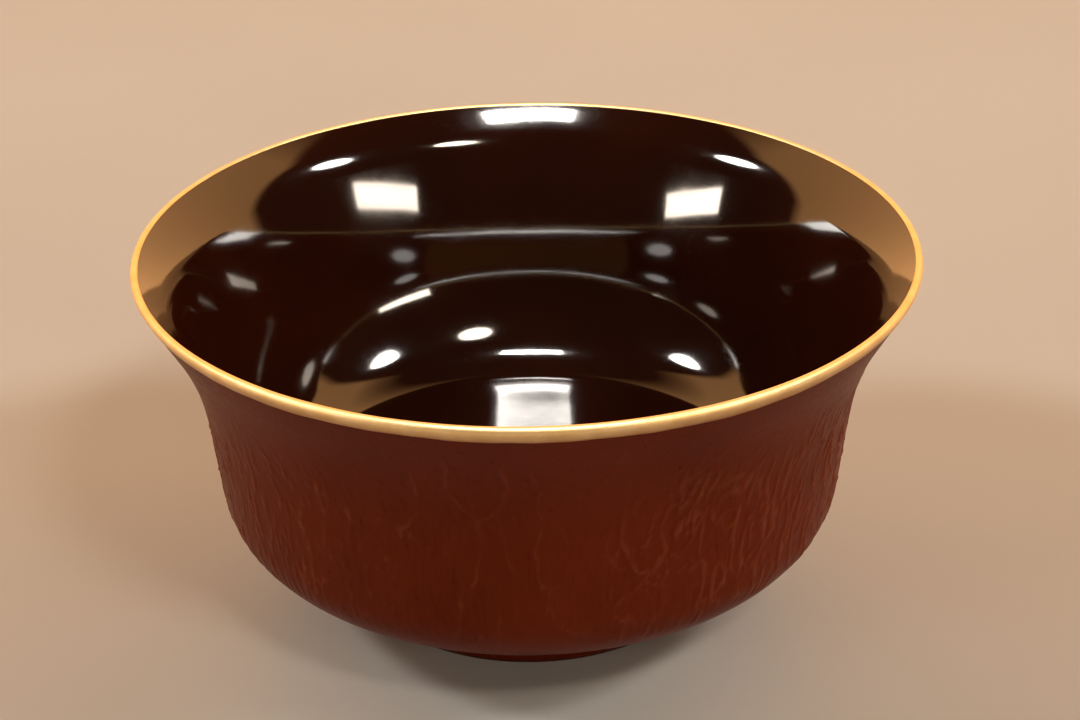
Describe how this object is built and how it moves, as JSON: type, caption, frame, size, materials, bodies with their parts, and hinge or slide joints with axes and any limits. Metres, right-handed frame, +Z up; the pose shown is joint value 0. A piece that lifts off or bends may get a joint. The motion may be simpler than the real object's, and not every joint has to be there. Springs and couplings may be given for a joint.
{
  "type": "lacquered serving bowl",
  "caption": "Round serving bowl with a flared gilded lip, steep walls, rounded belly and low foot ring; red-brown bark-relief lacquer outside, glossy dark lacquer inside",
  "frame": {"origin": "centre of the foot ring's bearing face, on the bowl's axis", "axes": "+Z up along the axis towards the rim; X and Y level, with no front"},
  "size_m": [0.21, 0.21, 0.1015],
  "materials": {
    "turned_wood": "bare turned wood, closed in by the coats",
    "hemp_cloth": "open hemp weave soaked in lacquer",
    "relief_ground": "matt earthen paste with bark relief",
    "outer_lacquer": "satin red-brown lacquer over bark relief",
    "inner_lacquer": "mirror gloss, near-black red-brown",
    "foot_lacquer": "gloss, worn to satin on the bearing edge",
    "gold": "burnished gold leaf on lacquer, hand-laid edge"
  },
  "bodies": {
    "root": {"wood_core": "turned_wood", "rim_cloth": "hemp_cloth", "foot_cloth": "hemp_cloth", "relief_ground": "relief_ground", "outer_lacquer": "outer_lacquer", "inner_lacquer": "inner_lacquer", "foot_lacquer": "foot_lacquer", "gold_rim": "gold"}
  },
  "joints": []
}
